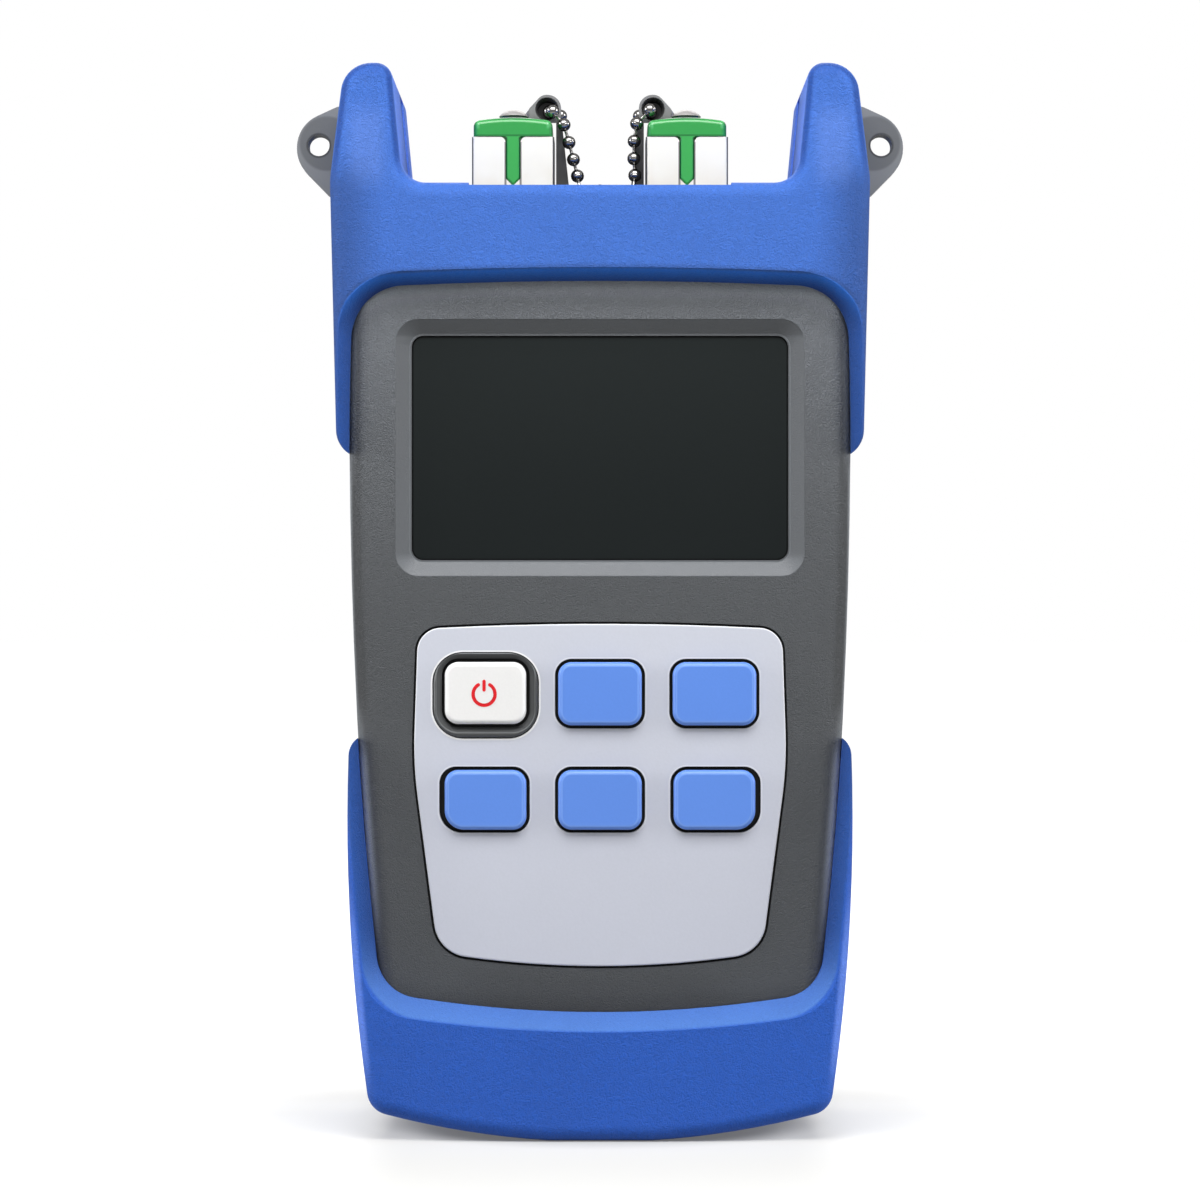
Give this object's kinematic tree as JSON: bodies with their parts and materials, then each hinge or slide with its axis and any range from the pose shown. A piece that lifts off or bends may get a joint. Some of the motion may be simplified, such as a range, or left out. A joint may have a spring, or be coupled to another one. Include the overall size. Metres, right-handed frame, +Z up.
{
  "type": "optical power meter",
  "caption": "Handheld fibre optic power meter with a dark display, a light keypad, capped square fibre ports between horns, rubber boots and strap lugs.",
  "frame": {"origin": "under the middle of the meter, on the surface that its sole stands on", "axes": "+Z up to the fibre ports, the keys and the display face -Y, +X to the right of a person who reads it"},
  "size_m": [0.0968, 0.042, 0.1665],
  "materials": {
    "boot_rubber": "satin blue elastomer with a fine leather grain",
    "case_plastic": "spark-eroded grey",
    "window_plastic": "smoked, polished",
    "lcd": "unlit liquid crystal",
    "white_plastic": "moulded",
    "keypad_plastic": "fine satin, cool light grey",
    "collar_plastic": "satin",
    "power_key_rubber": "satin white with a printed red power symbol",
    "key_rubber": "satin blue",
    "board": "solder mask",
    "component_plastic": "moulded",
    "steel": "zinc plated",
    "battery_jacket": "printed sleeve",
    "spring_nickel": "nickel plated",
    "panel_plastic": "satin",
    "sleeve_ceramic": "ground",
    "adapter_nickel": "bright nickel plate",
    "detector_metal": "turned",
    "cap_plastic": "glossy green",
    "strap_plastic": "soft grey",
    "rivet_nickel": "bright nickel plate",
    "chain_nickel": "bright nickel plate"
  },
  "bodies": {
    "housing": {"front_case": "case_plastic", "rear_case": "case_plastic", "top_boot": "boot_rubber", "bottom_boot": "boot_rubber", "display_window": "window_plastic", "lcd_glass": "lcd", "lcd_backlight": "white_plastic", "keypad_panel": "keypad_plastic", "power_key_collar": "collar_plastic", "main_board": "board", "key_switches": "component_plastic", "board_components": "component_plastic", "buzzer": "component_plastic", "board_screws": "steel", "case_screws": "steel", "adapter_screws": "steel", "batteries": "battery_jacket", "battery_springs": "spring_nickel", "battery_plates": "spring_nickel", "port_panel": "panel_plastic", "alignment_sleeves": "sleeve_ceramic", "port_adapter_left": "adapter_nickel", "port_adapter_right": "adapter_nickel", "detector_left": "detector_metal", "detector_right": "detector_metal", "chain_anchor": "rivet_nickel"},
    "power_key_body": {"power_key": "power_key_rubber"},
    "key_upper_middle_body": {"key_upper_middle": "key_rubber"},
    "key_upper_right_body": {"key_upper_right": "key_rubber"},
    "key_lower_left_body": {"key_lower_left": "key_rubber"},
    "key_lower_middle_body": {"key_lower_middle": "key_rubber"},
    "key_lower_right_body": {"key_lower_right": "key_rubber"},
    "cap_left": {"dust_cap_left": "cap_plastic", "cap_strap_left": "strap_plastic", "cap_rivet_left": "rivet_nickel", "cap_chain_left": "chain_nickel"},
    "cap_right": {"dust_cap_right": "cap_plastic", "cap_strap_right": "strap_plastic", "cap_rivet_right": "rivet_nickel", "cap_chain_right": "chain_nickel"},
    "door": {"battery_door": "case_plastic"}
  },
  "joints": [
    {"name": "power_key_press", "type": "slide", "parent": "housing", "child": "power_key_body", "axis": [0, 1, 0], "range_m": [0, 0.001], "stiffness_N_per_m": 400},
    {"name": "key_upper_middle_press", "type": "slide", "parent": "housing", "child": "key_upper_middle_body", "axis": [0, 1, 0], "range_m": [0, 0.001], "stiffness_N_per_m": 400},
    {"name": "key_upper_right_press", "type": "slide", "parent": "housing", "child": "key_upper_right_body", "axis": [0, 1, 0], "range_m": [0, 0.001], "stiffness_N_per_m": 400},
    {"name": "key_lower_left_press", "type": "slide", "parent": "housing", "child": "key_lower_left_body", "axis": [0, 1, 0], "range_m": [0, 0.001], "stiffness_N_per_m": 400},
    {"name": "key_lower_middle_press", "type": "slide", "parent": "housing", "child": "key_lower_middle_body", "axis": [0, 1, 0], "range_m": [0, 0.001], "stiffness_N_per_m": 400},
    {"name": "key_lower_right_press", "type": "slide", "parent": "housing", "child": "key_lower_right_body", "axis": [0, 1, 0], "range_m": [0, 0.001], "stiffness_N_per_m": 400},
    {"name": "cap_left_pull", "type": "slide", "parent": "housing", "child": "cap_left", "axis": [0, 0, 1], "range_m": [0, 0.01], "deforming": ["cap_chain_left"]},
    {"name": "cap_right_pull", "type": "slide", "parent": "housing", "child": "cap_right", "axis": [0, 0, 1], "range_m": [0, 0.01], "deforming": ["cap_chain_right"]},
    {"name": "door_hinge", "type": "hinge", "parent": "housing", "child": "door", "pos_m": [0, 0.0175, 0.036], "axis": [-1, 0, 0], "range_deg": [0, 75]}
  ]
}
